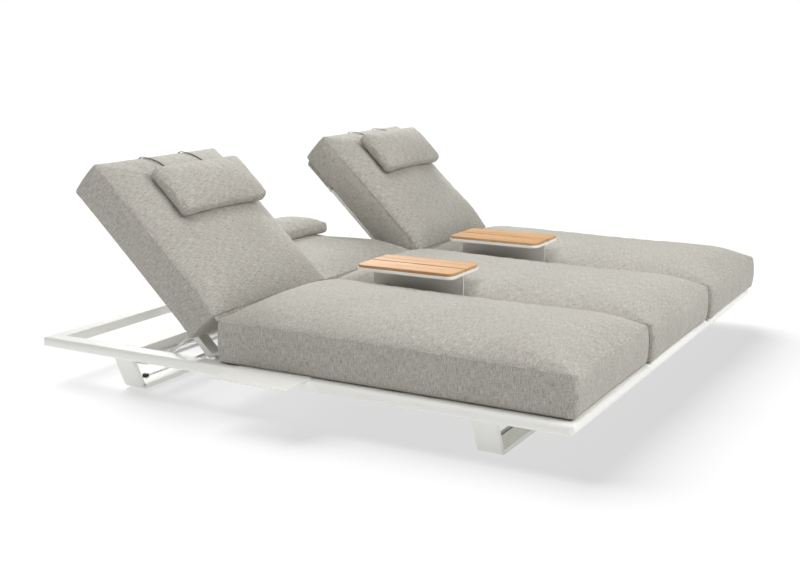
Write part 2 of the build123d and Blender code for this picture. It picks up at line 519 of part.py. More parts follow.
for name, theta, leg_y, bf_y, cu_y, cu_half, pil_dy, ya, yb, dx in MODULES:
    u, n = back_dir(theta)
    half = cu_half
    with BuildPart() as back_cushion:
        with BuildSketch(back_plane(HIN_X + dx, HIN_Z, cu_y - half, theta)):
            with BuildLine():
                r = 26
                mid = CROWN_RUN / 2
                zmid = BACK_CROWN - CROWN_R + math.sqrt(CROWN_R ** 2 - mid ** 2)
                Line((r, -CUSH_T), (CUSH_L - r, -CUSH_T))
                ThreePointArc((CUSH_L - r, -CUSH_T), (CUSH_L - 0.293 * r, -CUSH_T + 0.293 * r), (CUSH_L, -CUSH_T + r))
                Line((CUSH_L, -CUSH_T + r), (CUSH_L, 0))
                ThreePointArc((CUSH_L, 0), (CUSH_L - mid, zmid), (CUSH_L - CROWN_RUN, BACK_CROWN))
                Line((CUSH_L - CROWN_RUN, BACK_CROWN), (CROWN_RUN, BACK_CROWN))
                ThreePointArc((CROWN_RUN, BACK_CROWN), (mid, zmid), (0, 0))
                Line((0, 0), (0, -CUSH_T + r))
                ThreePointArc((0, -CUSH_T + r), (0.293 * r, -CUSH_T + 0.293 * r), (r, -CUSH_T))
            make_face()
        extrude(amount=2 * half)
        with BuildSketch(back_section(HIN_X + dx, HIN_Z, cu_y, theta, -5)):
            with BuildLine():
                w, r, b = half, 22, -CUSH_T
                Line((-w + r, b), (w - r, b))
                ThreePointArc((w - r, b), (w - 0.293 * r, b + 0.293 * r), (w, b + r))
                Line((w, b + r), (w, 0))
                ThreePointArc((w, 0), (0, BACK_CROWN), (-w, 0))
                Line((-w, 0), (-w, b + r))
                ThreePointArc((-w, b + r), (-w + 0.293 * r, b + 0.293 * r), (-w + r, b))
            make_face()
        extrude(amount=CUSH_L + 10, mode=Mode.INTERSECT)
        plan = Plane(origin=Vector(HIN_X + dx, cu_y + OY, HIN_Z) - n * (CUSH_T + 5) + u * (CUSH_L / 2), x_dir=u, z_dir=n)
        with BuildSketch(plan):
            with BuildLine():
                Polyline(*plan_points(-CUSH_L / 2, CUSH_L / 2, -half, half))
            make_face()
        extrude(amount=CUSH_T + BACK_CROWN + 10, mode=Mode.INTERSECT)
    back_cushion.part.label = f"back_cushion_{name}"
    export_step(back_cushion.part, f"parts/back_cushion_{name}.step")

    # fabric pocket on the cushion's back, open at its lower edge, over the frame's end
    P_IN, P_OUT, P_DEEP, P_SKIN = BF_HALF + 1.6, BF_HALF + 6.6, 40.5, 5.5
    P_S0, P_S1 = 512.0, 697.0
    with BuildPart() as frame_pocket:
        with BuildSketch(back_plane(HIN_X + dx, HIN_Z, bf_y - P_OUT, theta)):
            with Locations(((P_S0 + P_S1) / 2, -CUSH_T - (P_DEEP + P_SKIN) / 2)):
                Rectangle(P_S1 - P_S0, P_DEEP + P_SKIN)
        extrude(amount=2 * P_OUT)
        with BuildSketch(back_plane(HIN_X + dx, HIN_Z, bf_y - P_IN, theta)):
            with Locations(((P_S0 - 5 + P_S1 - 5) / 2, -CUSH_T - (P_DEEP) / 2 + 2)):
                Rectangle(P_S1 - P_S0, P_DEEP + 4)
        extrude(amount=2 * P_IN, mode=Mode.SUBTRACT)
        # rounded far corners, in the plane of the pocket's skin
        yc = bf_y + OY
        far = [e for e in frame_pocket.edges()
               if abs((e.center() - Vector(HIN_X + dx, yc, HIN_Z)).dot(u) - P_S1) < 0.3
               and abs(abs(e.center().Y - yc) - P_OUT) < 0.3 and e.length > P_DEEP]
        fillet(far, 4)
    frame_pocket.part.label = f"frame_pocket_{name}"
    export_step(frame_pocket.part, f"parts/frame_pocket_{name}.step")

    # two flat straps over the cushion's upper edge
    with BuildPart() as pillow_straps:
        flat = 57.2
        for dy in (-112, 112):
            with BuildSketch(back_plane(HIN_X + dx, HIN_Z, cu_y + pil_dy * 0.8 + dy - 4, theta)):
                with BuildLine():
                    g0, g1 = 0.7, 2.7
                    cs = CUSH_L - CROWN_RUN
                    s0 = cs + math.sqrt((CROWN_R + g0) ** 2 - (flat - BACK_CROWN + CROWN_R) ** 2)
                    s1 = cs + math.sqrt((CROWN_R + g1) ** 2 - (flat + 2 - BACK_CROWN + CROWN_R) ** 2)
                    e0, e1 = CUSH_L + 0.7, CUSH_L + 2.7
                    Line((440, flat), (s0, flat))
                    ThreePointArc((s0, flat), ((s0 + e0) / 2, crown_pt((s0 + e0) / 2, g0)), (e0, crown_pt(e0, g0)))
                    Line((e0, crown_pt(e0, g0)), (e0, -CUSH_T + 28))
                    Line((e0, -CUSH_T + 28), (e1, -CUSH_T + 28))
                    Line((e1, -CUSH_T + 28), (e1, crown_pt(e1, g1)))
                    ThreePointArc((e1, crown_pt(e1, g1)), ((s1 + e1) / 2, crown_pt((s1 + e1) / 2, g1)), (s1, flat + 2))
                    Line((s1, flat + 2), (440, flat + 2))
                    Line((440, flat + 2), (440, flat))
                make_face()
            extrude(amount=8)
    pillow_straps.part.label = f"pillow_straps_{name}"
    export_step(pillow_straps.part, f"parts/pillow_straps_{name}.step")

    with BuildPart() as head_pillow:
        p0, p1, base, seam, crest = PILLOW_S0, PILLOW_S1, 61.0, 104.0, 134.0
        py = cu_y + pil_dy
        with BuildSketch(back_plane(HIN_X + dx, HIN_Z, py - PILLOW_W / 2, theta)):
            with BuildLine():
                r = 20
                Line((p0 + r, base), (p1 - r, base))
                ThreePointArc((p1 - r, base), (p1 - 0.293 * r, base + 0.293 * r), (p1, base + r))
                Line((p1, base + r), (p1, seam))
                ThreePointArc((p1, seam), ((p0 + p1) / 2, crest), (p0, seam))
                Line((p0, seam), (p0, base + r))
                ThreePointArc((p0, base + r), (p0 + 0.293 * r, base + 0.293 * r), (p0 + r, base))
            make_face()
        extrude(amount=PILLOW_W)
        with BuildSketch(back_section(HIN_X + dx, HIN_Z, py, theta, p0 - 5)):
            with BuildLine():
                w, r = PILLOW_W / 2, 20
                Line((-w + r, base), (w - r, base))
                ThreePointArc((w - r, base), (w - 0.293 * r, base + 0.293 * r), (w, base + r))
                Line((w, base + r), (w, seam - 6))
                ThreePointArc((w, seam - 6), (w - 45, seam + 18), (w - 110, crest))
                Line((w - 110, crest), (-w + 110, crest))
                ThreePointArc((-w + 110, crest), (-w + 45, seam + 18), (-w, seam - 6))
                Line((-w, seam - 6), (-w, base + r))
                ThreePointArc((-w, base + r), (-w + 0.293 * r, base + 0.293 * r), (-w + r, base))
            make_face()
        extrude(amount=p1 - p0 + 10, mode=Mode.INTERSECT)
    head_pillow.part.label = f"head_pillow_{name}"
    export_step(head_pillow.part, f"parts/head_pillow_{name}.step")

# ------------------------------------------------------------------ side tables
SLAT_W, SLAT_T, SLAT_GAP = 111.0, 18.0, 10.0
for name, tx, ty in (("near", 153.0, -BEAM_Y), ("far", 175.0, BEAM_Y)):
    yc = ty + OY
    with BuildPart() as table_plate:
        with BuildSketch(Plane.YZ.offset(tx - 188.5)):
            with Locations((yc, (167 + TABLE_Z) / 2)):
                Rectangle(4, TABLE_Z - 167)
            with Locations((yc, 165.8)):
                Rectangle(46, 3)
        extrude(amount=377)
    table_plate.part.label = f"table_plate_{name}"
    export_step(table_plate.part, f"parts/table_plate_{name}.step")

    screw_pts = [(tx + dx, yc + dy) for dx in (-150, 0, 150) for dy in (-60.5, 60.5)]
    with BuildPart() as table_tray:
        with BuildSketch(Plane.XY.offset(TABLE_Z)):
            with Locations((tx, yc)):
                RectangleRounded(TABLE_L, TABLE_W, 26)
        extrude(amount=11)
        with BuildSketch(Plane.XY.offset(TABLE_Z + 3)):
            with Locations((tx, yc)):
                RectangleRounded(TABLE_L - 4, TABLE_W - 4, 24)
        extrude(amount=10, mode=Mode.SUBTRACT)
        with BuildSketch(Plane.XY.offset(TABLE_Z - 1)):
            with Locations(*screw_pts):
                Circle(2.6)
        extrude(amount=6, mode=Mode.SUBTRACT)
    table_tray.part.label = f"table_tray_{name}"
    export_step(table_tray.part, f"parts/table_tray_{name}.step")

    with BuildPart() as table_slats:
        with BuildSketch(Plane.XY.offset(TABLE_Z + 3)):
            with Locations((tx, yc)):
                RectangleRounded(TABLE_L - 5.5, 2 * SLAT_W + SLAT_GAP, 22)
            with Locations((tx, yc)):
                Rectangle(TABLE_L, SLAT_GAP, mode=Mode.SUBTRACT)
        extrude(amount=SLAT_T)
        top_edges = table_slats.edges().group_by(Axis.Z)[-1]
        fillet(top_edges, 2.0)
        with BuildSketch(Plane.XY.offset(TABLE_Z + 2)):
            with Locations(*screw_pts):
                Circle(2.0)
        extrude(amount=14, mode=Mode.SUBTRACT)
    table_slats.part.label = f"table_slats_{name}"
    export_step(table_slats.part, f"parts/table_slats_{name}.step")

    with BuildPart() as table_screws:
        for sx, sy in screw_pts:
            with BuildSketch(Plane.XY.offset(TABLE_Z - 2.6)):
                with Locations((sx, sy)):
                    Circle(4.5)
            extrude(amount=2.6)
            fillet(table_screws.edges(Select.LAST).group_by(Axis.Z)[0], 1.5)
            with BuildSketch(Plane.XY.offset(TABLE_Z - 0.5)):
                with Locations((sx, sy)):
                    Circle(2.0)
            extrude(amount=15)
    table_screws.part.label = f"table_screws_{name}"
    export_step(table_screws.part, f"parts/table_screws_{name}.step")

# ------------------------------------------------------------------ side tray on the near rail
with BuildPart() as side_tray:
    with BuildSketch(Plane.XY.offset(RAIL_Z1 + 0.3)):
        with Locations(((-166 + 126) / 2, -(TRAY_OUT + 985) / 2 + OY)):
            r = Rectangle(292, TRAY_OUT - 985)
        fillet([v for v in r.vertices() if v.Y < -1100 + OY], 5)
    extrude(amount=3)
side_tray.part.label = "side_tray"
export_step(side_tray.part, "parts/side_tray.step")
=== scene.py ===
import json
import math

import bpy
import numpy as np
from mathutils import Matrix, Vector, noise


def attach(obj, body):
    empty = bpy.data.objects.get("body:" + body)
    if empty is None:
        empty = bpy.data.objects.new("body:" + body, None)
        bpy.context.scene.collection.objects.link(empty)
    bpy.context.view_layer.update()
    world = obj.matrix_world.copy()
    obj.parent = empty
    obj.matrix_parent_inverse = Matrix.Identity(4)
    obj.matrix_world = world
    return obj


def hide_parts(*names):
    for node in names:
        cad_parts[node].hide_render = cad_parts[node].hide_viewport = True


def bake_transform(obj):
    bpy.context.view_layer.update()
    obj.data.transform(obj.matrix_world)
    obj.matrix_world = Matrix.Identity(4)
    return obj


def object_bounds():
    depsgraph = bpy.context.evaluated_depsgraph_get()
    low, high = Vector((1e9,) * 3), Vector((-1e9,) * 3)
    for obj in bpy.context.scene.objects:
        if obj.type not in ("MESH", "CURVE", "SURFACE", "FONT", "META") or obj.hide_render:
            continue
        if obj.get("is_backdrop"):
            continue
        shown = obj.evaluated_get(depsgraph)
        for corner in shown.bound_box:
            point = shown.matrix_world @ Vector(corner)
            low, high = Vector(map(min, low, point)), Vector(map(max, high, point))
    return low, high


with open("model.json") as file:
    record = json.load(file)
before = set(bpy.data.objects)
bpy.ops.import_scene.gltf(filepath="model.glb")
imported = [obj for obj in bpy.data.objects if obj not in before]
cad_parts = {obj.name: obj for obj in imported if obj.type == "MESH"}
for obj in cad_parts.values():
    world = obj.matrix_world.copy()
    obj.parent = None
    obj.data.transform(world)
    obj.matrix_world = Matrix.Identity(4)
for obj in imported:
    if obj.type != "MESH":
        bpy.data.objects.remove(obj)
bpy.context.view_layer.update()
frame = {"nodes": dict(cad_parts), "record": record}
NODES = frame["nodes"]

# ------------------------------------------------------------------ sizes, metres
OY = 0.0615
FAR_DX = 0.035
HINGE_X = {"near": -0.257, "middle": -0.257, "far": -0.257 + FAR_DX}
HINGE_Z = 0.329
THETA = {"near": 43.5, "middle": 0.0, "far": 43.5}
CUSH_Y = {"near": -0.709, "middle": 0.0, "far": 0.709}
CUSH_W = {"near": 0.3435, "middle": 0.3530, "far": 0.3435}
FRAME_Y = {"near": -0.700, "middle": 0.0, "far": 0.700}
PILLOW_DY = {"near": 0.027, "middle": 0.010, "far": 0.002}
SEAT_X0 = {"near": -0.2515, "middle": -0.2515, "far": -0.2515 + FAR_DX}
SEAT_X1 = {"near": 1.0390, "middle": 1.0500, "far": 1.0640}
BACK_LEN = {"near": 0.711, "middle": 0.702, "far": 0.696}
BACK_PUFF = {"near": 1.03, "middle": 1.10, "far": 1.12}     # crown height of each back
PILLOW_S = {"near": 0.375, "middle": 0.372, "far": 0.387}
SEAT_BOT = 0.1690
CREST = 0.0705
BACK_T, BACK_L, BACK_CREST = 0.1415, 0.701, 0.060
BACK_DEEP = {"near": 0.1420, "middle": 0.1415, "far": 0.1370}
MODS = ("near", "middle", "far")
BEAM_Y = 0.3600


# ------------------------------------------------------------------ shader helpers
class Mat:
    def __init__(self, name):
        self.m = bpy.data.materials.new(name)
        self.m.use_nodes = True
        self.t = self.m.node_tree
        self.b = self.t.nodes["Principled BSDF"]

    def n(self, kind, **kw):
        node = self.t.nodes.new(kind)
        for k, v in kw.items():
            setattr(node, k, v)
        return node

    def link(self, a, b):
        self.t.links.new(a, b)

    def set(self, node, **kw):
        for k, v in kw.items():
            node.inputs[k.replace("_", " ")].default_value = v
        return node

    def coords(self, scale, uv=False):
        tc = self.n("ShaderNodeTexCoord")
        mp = self.n("ShaderNodeMapping")
        mp.inputs["Scale"].default_value = scale
        self.link(tc.outputs["UV" if uv else "Object"], mp.inputs["Vector"])
        return mp.outputs["Vector"]

    def noise(self, vec, scale=1.0, detail=2.0, rough=0.5, dist=0.0):
        nz = self.n("ShaderNodeTexNoise")
        nz.inputs["Scale"].default_value = scale
        nz.inputs["Detail"].default_value = detail
        nz.inputs["Roughness"].default_value = rough
        nz.inputs["Distortion"].default_value = dist
        self.link(vec, nz.inputs["Vector"])
        return nz.outputs["Fac"]

    def ramp(self, fac, stops):
        r = self.n("ShaderNodeValToRGB")
        e = r.color_ramp.elements
        while len(e) < len(stops):
            e.new(0.5)
        for i, (p, c) in enumerate(stops):
            e[i].position = p
            e[i].color = (*c, 1) if len(c) == 3 else c
        self.link(fac, r.inputs["Fac"])
        return r.outputs["Color"]

    def mix(self, fac, a, b, mode="MIX"):
        mx = self.n("ShaderNodeMix", data_type="RGBA", blend_type=mode)
        if isinstance(fac, float):
            mx.inputs[0].default_value = fac
        else:
            self.link(fac, mx.inputs[0])
        for sock, v in ((mx.inputs[6], a), (mx.inputs[7], b)):
            if isinstance(v, tuple):
                sock.default_value = (*v, 1)
            else:
                self.link(v, sock)
        return mx.outputs[2]

    def math(self, op, a, b=None, clamp=False):
        mt = self.n("ShaderNodeMath", operation=op, use_clamp=clamp)
        for sock, v in ((mt.inputs[0], a), (mt.inputs[1], b)):
            if v is None:
                continue
            if isinstance(v, (int, float)):
                sock.default_value = v
            else:
                self.link(v, sock)
        return mt.outputs[0]

    def bump(self, height, strength, distance, normal=None):
        bp = self.n("ShaderNodeBump")
        bp.inputs["Strength"].default_value = strength
        bp.inputs["Distance"].default_value = distance
        self.link(height, bp.inputs["Height"])
        if normal is not None:
            self.link(normal, bp.inputs["Normal"])
        return bp.outputs["Normal"]


def fabric_material(name, shade_tint=(1.0, 1.0, 1.0)):
    """Melange weave: light and dark yarns along and across the cloth, UV in metres."""
    k = Mat(name)
    warp = k.noise(k.coords((900, 80, 1), uv=True), 1.0, 2.0, 0.6)
    streak = k.noise(k.coords((400, 36, 1), uv=True), 1.0, 2.0, 0.55)
    weft = k.noise(k.coords((80, 900, 1), uv=True), 1.0, 2.0, 0.6)
    cross = k.noise(k.coords((40, 380, 1), uv=True), 1.0, 2.0, 0.55)
    fleck = k.noise(k.coords((460, 460, 1), uv=True), 1.0, 2.0, 0.7)
    cloud = k.noise(k.coords((5, 5, 5)), 1.0, 3.0, 0.5)
    both = k.math("ADD", k.math("MULTIPLY", warp, 0.28), k.math("MULTIPLY", weft, 0.14))
    both = k.math("ADD", both, k.math("MULTIPLY", streak, 0.28))
    both = k.math("ADD", both, k.math("MULTIPLY", cross, 0.15))
    both = k.math("ADD", both, k.math("MULTIPLY", fleck, 0.15))
    # the colour factor scales the whole cloth; below 1 it gives a darker copy of the same cloth, painted shade
    col = k.ramp(both, [(0.345, (0.165 * shade_tint[0], 0.139 * shade_tint[1], 0.121 * shade_tint[2])),
                        (0.445, (0.325 * shade_tint[0], 0.302 * shade_tint[1], 0.268 * shade_tint[2])),
                        (0.545, (0.480 * shade_tint[0], 0.470 * shade_tint[1], 0.423 * shade_tint[2])),
                        (0.655, (0.68 * shade_tint[0], 0.662 * shade_tint[1], 0.604 * shade_tint[2]))])
    tint = k.ramp(cloud, [(0.3, (0.955, 0.955, 0.955)), (0.7, (1.03, 1.03, 1.03))])
    col = k.mix(1.0, col, tint, "MULTIPLY")
    k.link(col, k.b.inputs["Base Color"])
    k.b.inputs["Roughness"].default_value = 0.93
    k.b.inputs["Specular IOR Level"].default_value = 0.18
    k.b.inputs["Sheen Weight"].default_value = 0.22
    k.b.inputs["Sheen Roughness"].default_value = 0.45
    k.b.inputs["Sheen Tint"].default_value = (0.95, 0.93, 0.89, 1)
    # the weave's relief: fine ribs both ways, then the slubs
    wv = k.n("ShaderNodeTexWave", wave_type="BANDS", bands_direction="X")
    k.link(k.coords((640, 640, 1), uv=True), wv.inputs["Vector"])
    wv.inputs["Scale"].default_value = 0.16
    wv.inputs["Distortion"].default_value = 0.6
    wh = k.n("ShaderNodeTexWave", wave_type="BANDS", bands_direction="Y")
    k.link(k.coords((640, 640, 1), uv=True), wh.inputs["Vector"])
    wh.inputs["Scale"].default_value = 0.16
    wh.inputs["Distortion"].default_value = 0.6
    rib = k.math("MULTIPLY", wv.outputs["Fac"], wh.outputs["Fac"])
    n1 = k.bump(rib, 0.35, 0.0006)
    n2 = k.bump(both, 0.55, 0.0016, n1)
    k.link(n2, k.b.inputs["Normal"])
    return k.m


def powder_material(name, col=(0.90, 0.897, 0.86)):
    k = Mat(name)
    big = k.noise(k.coords((3, 3, 3)), 1.0, 3.0, 0.5)
    c = k.ramp(big, [(0.3, tuple(x * 0.985 for x in col)), (0.7, tuple(min(1, x * 1.012) for x in col))])
    k.link(c, k.b.inputs["Base Color"])
    peel = k.noise(k.coords((420, 420, 420)), 1.0, 2.0, 0.5)
    r = k.ramp(peel, [(0.3, (0.40,) * 3), (0.7, (0.50,) * 3)])
    k.link(r, k.b.inputs["Roughness"])
    k.b.inputs["Specular IOR Level"].default_value = 0.42
    k.link(k.bump(peel, 0.10, 0.0003), k.b.inputs["Normal"])
    return k.m


def teak_material(name):
    k = Mat(name)
    rings = k.noise(k.coords((2.2, 34, 34)), 1.0, 4.0, 0.55, 0.35)
    fine = k.noise(k.coords((14, 460, 460)), 1.0, 3.0, 0.6)
    pore = k.noise(k.coords((60, 1500, 1500)), 1.0, 2.0, 0.5)
    base = k.ramp(rings, [(0.30, (0.470, 0.245, 0.097)), (0.48, (0.590, 0.335, 0.148)),
                          (0.62, (0.655, 0.397, 0.192)), (0.80, (0.705, 0.455, 0.241))])
    lines = k.ramp(fine, [(0.35, (0.80, 0.76, 0.70)), (0.60, (1.0, 1.0, 1.0))])
    c = k.mix(0.8, base, lines, "MULTIPLY")
    pores = k.ramp(pore, [(0.30, (0.62, 0.52, 0.42)), (0.42, (1, 1, 1))])
    c = k.mix(0.45, c, pores, "MULTIPLY")
    k.link(c, k.b.inputs["Base Color"])
    k.link(k.ramp(fine, [(0.3, (0.62,) * 3), (0.7, (0.48,) * 3)]), k.b.inputs["Roughness"])
    k.b.inputs["Specular IOR Level"].default_value = 0.35
    k.link(k.bump(fine, 0.25, 0.0004, k.bump(pore, 0.2, 0.0002)), k.b.inputs["Normal"])
    return k.m


def steel_material(name, col=(0.60, 0.60, 0.585)):
    k = Mat(name)
    k.b.inputs["Metallic"].default_value = 1.0
    n = k.noise(k.coords((900, 900, 60)), 1.0, 2.0, 0.5)
    k.link(k.ramp(n, [(0.3, tuple(x * 0.92 for x in col)), (0.7, col)]), k.b.inputs["Base Color"])
    k.link(k.ramp(n, [(0.3, (0.30,) * 3), (0.7, (0.42,) * 3)]), k.b.inputs["Roughness"])
    return k.m


def plastic_material(name, col=(0.012, 0.012, 0.013)):
    k = Mat(name)
    n = k.noise(k.coords((700, 700, 700)), 1.0, 2.0, 0.5)
    k.link(k.ramp(n, [(0.3, col), (0.7, tuple(x * 1.5 for x in col))]), k.b.inputs["Base Color"])
    k.b.inputs["Roughness"].default_value = 0.42
    k.link(k.bump(n, 0.12, 0.0002), k.b.inputs["Normal"])
    return k.m


def webbing_material(name):
    k = Mat(name)
    w = k.n("ShaderNodeTexWave", wave_type="BANDS", bands_direction="DIAGONAL")
    k.link(k.coords((900, 900, 1), uv=True), w.inputs["Vector"])
    w.inputs["Scale"].default_value = 0.25
    n = k.noise(k.coords((500, 60, 1), uv=True), 1.0, 2.0, 0.5)
    f = k.math("ADD", k.math("MULTIPLY", w.outputs["Fac"], 0.5), k.math("MULTIPLY", n, 0.5))
    k.link(k.ramp(f, [(0.3, (0.062, 0.054, 0.042)), (0.7, (0.125, 0.112, 0.088))]), k.b.inputs["Base Color"])
    k.b.inputs["Roughness"].default_value = 0.85
    k.b.inputs["Sheen Weight"].default_value = 0.15
    k.link(k.bump(f, 0.4, 0.0005), k.b.inputs["Normal"])
    return k.m


FABRIC = fabric_material("cushion_fabric")
# darker copy of the cushion cloth: painted shade for the pocket under the back and the strip in the fold
FABRIC_PAINTED_SHADE = fabric_material("pocket_fabric_painted_shade", (0.86, 0.855, 0.85))
POWDER = powder_material("powder_coat")
STAY = powder_material("stay_coat", (0.74, 0.74, 0.715))
TEAK = teak_material("teak")
STEEL = steel_material("stainless")
NYLON = plastic_material("black_nylon")
WEBBING = webbing_material("strap_webbing")
THREAD = webbing_material("seam_thread")

# ------------------------------------------------------------------ CAD nodes that stay
for name, ob in NODES.items():
    slots = {s["node"]: s["material_slot"] for s in frame["record"]["subparts"]}
    sl = slots.get(name)
    mat = {"powder_coat": POWDER, "stay_steel": STAY, "teak": TEAK, "fastener_steel": STEEL,
           "glide_plastic": NYLON}.get(sl)
    if mat is None:
        continue
    ob.data.materials.clear()
    ob.data.materials.append(mat)
    width = 0.0
    if name.startswith(("head_leg", "foot_leg")):
        width = 0.0022
    elif name.startswith(("head_rail", "foot_rail")):
        width = 0.0014
    elif name.startswith(("table_plate", "table_tray", "side_tray")):
        width = 0.0006
    elif name.startswith(("backrest_frame", "lower_cross", "head_cross", "foot_cross", "pivot_bracket")):
        width = 0.0014
    if width:
        w = ob.modifiers.new("weld", "WELD")
        w.merge_threshold = 0.00003
        bv = ob.modifiers.new("edge", "BEVEL")
        bv.width = width
        bv.segments = 2
        bv.limit_method = "ANGLE"
        bv.angle_limit = math.radians(38)
        bv.harden_normals = True


# ------------------------------------------------------------------ mesh helpers
def make_mesh(name, verts, faces, mat, uvs=None, smooth=True):
    me = bpy.data.meshes.new(name)
    me.from_pydata([tuple(v) for v in verts], [], [tuple(f) for f in faces])
    me.update()
    if uvs is not None:
        layer = me.uv_layers.new(name="cloth")
        flat = np.array([uvs[i] for i in range(len(uvs))], np.float32).reshape(-1)
        layer.data.foreach_set("uv", flat)
    me.materials.append(mat)
    if smooth:
        me.polygons.foreach_set("use_smooth", [True] * len(me.polygons))
    ob = bpy.data.objects.new(name, me)
    bpy.context.scene.collection.objects.link(ob)
    return ob


def get_co(ob):
    co = np.empty(len(ob.data.vertices) * 3, np.float64)
    ob.data.vertices.foreach_get("co", co)
    return co.reshape(-1, 3)


def set_co(ob, co):
    ob.data.vertices.foreach_set("co", np.asarray(co, np.float32).ravel())
    ob.data.update()


def lines(length, step, edge):
    """Grid lines 0..length, with the given extra lines near both ends."""
    inner0, inner1 = edge[-1], length - edge[-1]
    n = max(2, int(round((inner1 - inner0) / step)))
    mid = [inner0 + (inner1 - inner0) * i / n for i in range(1, n)]
    return np.array([0.0, *edge, *mid, *[length - e for e in reversed(edge)], length])


def fbm(p, scale, seed=0.0, octaves=3):
    """Smooth seeded noise, about -1..1, for an array of points."""
    out = np.empty(len(p))
    for i, (x, y, z) in enumerate(p):
        v, a, f = 0.0, 1.0, scale
        for _ in range(octaves):
            v += a * noise.noise(Vector((x * f + seed, y * f - seed, z * f + 0.5 * seed)))
            a *= 0.5
            f *= 2.1
        out[i] = v
    return out


class Cushion:
    """A boxed cushion as one closed quad mesh: top grid, side rings, bottom grid.
    Local axes: a along the length, b across, c up from the seam plane."""

    EDGE = [0.0016, 0.0042, 0.009, 0.017, 0.029]

    def __init__(self, length, half, crest, depth, run0, run1, p0=2.0, p1=2.0, corner=0.030,
                 bottom_r=0.024, bulge=0.004, groove=0.0014, step=0.015, seam=(0.0, 0.0),
                 pull=0.003, ring_n=10, sag=0.0, edge_soft=0.0, end_bulge=None, box=2.0, head_bulge=None):
        self.L, self.W = length, half
        self.crest, self.depth = crest, depth
        self.run0, self.run1, self.p0, self.p1 = run0, run1, p0, p1
        self.corner, self.br, self.bulge, self.groove = corner, bottom_r, bulge, groove
        self.seam, self.pull, self.soft, self.box = seam, pull, edge_soft, box
        self.A = lines(length, step, self.EDGE)
        self.B = lines(2 * half, step, self.EDGE) - half
        self.na, self.nb = len(self.A), len(self.B)
        self.ring_n = ring_n
        self.sag = sag
        self.end_bulge = bulge if end_bulge is None else end_bulge
        self.head_bulge = self.end_bulge if head_bulge is None else head_bulge
        self.build()

    def seam_c(self, a):
        return self.seam[0] + (self.seam[1] - self.seam[0]) * a / self.L

    def top(self, a, b):
        """Height of the crowned top above the seam plane."""
        a = np.asarray(a, float)
        b = np.asarray(b, float)
        x0 = np.clip(a / self.run0, 0, 1)
        x1 = np.clip((self.L - a) / self.run1, 0, 1)
        f = (1 - (1 - x0) ** self.p0) * (1 - (1 - x1) ** self.p1)
        t = np.clip(np.abs(b) / self.W, 0, 1)
        g = (1 - t ** self.box) ** (1 - self.soft)
        return self.seam_c(a) + self.crest * f * g

    def plan(self, a, b):
        """Rounds the plan corners and pulls the long sides in a little."""
        a, b = np.array(a, float), np.array(b, float)
        r = self.corner
        L, W = self.L, self.W
        for ea, sa in ((0.0, 1), (L, -1)):
            for eb, sb in ((-W, 1), (W, -1)):
                u = 1 - (a - ea) * sa / r
                v = 1 - (b - eb) * sb / r
                m = (u > 0) & (v > 0) & (u <= 1.0001) & (v <= 1.0001)
                uu = u[m] * np.sqrt(1 - v[m] ** 2 / 2)
                vv = v[m] * np.sqrt(1 - u[m] ** 2 / 2)
                a[m] = ea + sa * r * (1 - uu)
                b[m] = eb + sb * r * (1 - vv)
        k = np.sin(np.pi * np.clip(a / L, 0, 1))
        b = b * (1 - self.pull / W * k)
        kb = np.cos(np.pi * np.clip(b / W, -1, 1) / 2)
        a = L / 2 + (a - L / 2) * (1 - 2 * self.pull / L * kb)
        return a, b

    def build(self):
        na, nb = self.na, self.nb
        AA, BB = np.meshgrid(self.A, self.B, indexing="ij")
        pa, pb = self.plan(AA.ravel(), BB.ravel())
        c = self.top(AA.ravel(), BB.ravel())
        # the fabric rolls down into the seam
        edge_d = np.minimum.reduce([AA.ravel(), self.L - AA.ravel(), BB.ravel() + self.W, self.W - BB.ravel()])
        c = c + 0.0020 * (1 - np.exp(-edge_d / 0.0025)) - 0.0020 * np.exp(-edge_d / 0.0025)
        top = np.stack([pa, pb, c], 1)
        top_id = np.arange(na * nb).reshape(na, nb)
        loop = ([(i, 0) for i in range(na - 1)] + [(na - 1, j) for j in range(nb - 1)]
                + [(i, nb - 1) for i in range(na - 1, 0, -1)] + [(0, j) for j in range(nb - 1, 0, -1)])
        lid = np.array([top_id[i, j] for i, j in loop])
        P = top[lid][:, :2]
        nl = len(lid)
        T = np.roll(P, -1, 0) - np.roll(P, 1, 0)
        T /= np.linalg.norm(T, axis=1)[:, None]
        N = np.stack([T[:, 1], -T[:, 0]], 1)
        seam_c = np.array([self.seam_c(self.A[i]) for i, j in loop])
        per = np.concatenate([[0], np.cumsum(np.linalg.norm(np.roll(P, -1, 0) - P, axis=1))])[:-1]
        self.per_len = per[-1] + np.linalg.norm(P[0] - P[-1])
        # the seam line itself sits in a shallow groove
        verts = [top]
        top[lid, :2] -= N * self.groove
        rings = []
        ts = [0.0018, 0.005, 0.011]
        h = self.depth + seam_c            # wall height varies with the seam
        n_mid = self.ring_n
        fr = [t for t in ts]
        wall = []
        for t in fr:
            wall.append((np.full(nl, t), None))
        ends = np.where(N[:, 0] < 0, self.head_bulge, self.end_bulge)
        blg = self.bulge + (ends - self.bulge) * np.abs(N[:, 0]) ** 2
        zs = []
        for t in fr:
            zs.append(seam_c - t)
        for q in range(1, n_mid + 1):
            zs.append(seam_c - ts[-1] - (h - ts[-1] - self.br) * q / n_mid)
        for z in zs:
            t = (seam_c - z) / h
            off = blg * np.sin(np.pi * np.clip(t, 0, 1)) ** 0.75
            rings.append(np.concatenate([P + N * off[:, None], z[:, None]], 1))
        last_off = blg * np.sin(np.pi * np.clip((h - self.br) / h, 0, 1)) ** 0.75
        for ang in (22.5, 45, 67.5, 90):
            a = math.radians(ang)
            off = last_off - self.br * (1 - math.cos(a))
            z = -self.depth + self.br * (1 - math.sin(a))
            rings.append(np.concatenate([P + N * off[:, None], np.full((nl, 1), z)], 1))
        self.nr = len(rings)
        base = na * nb
        ring_id = []
        for r in rings:
            verts.append(r)
            ring_id.append(np.arange(base, base + nl))
            base += nl
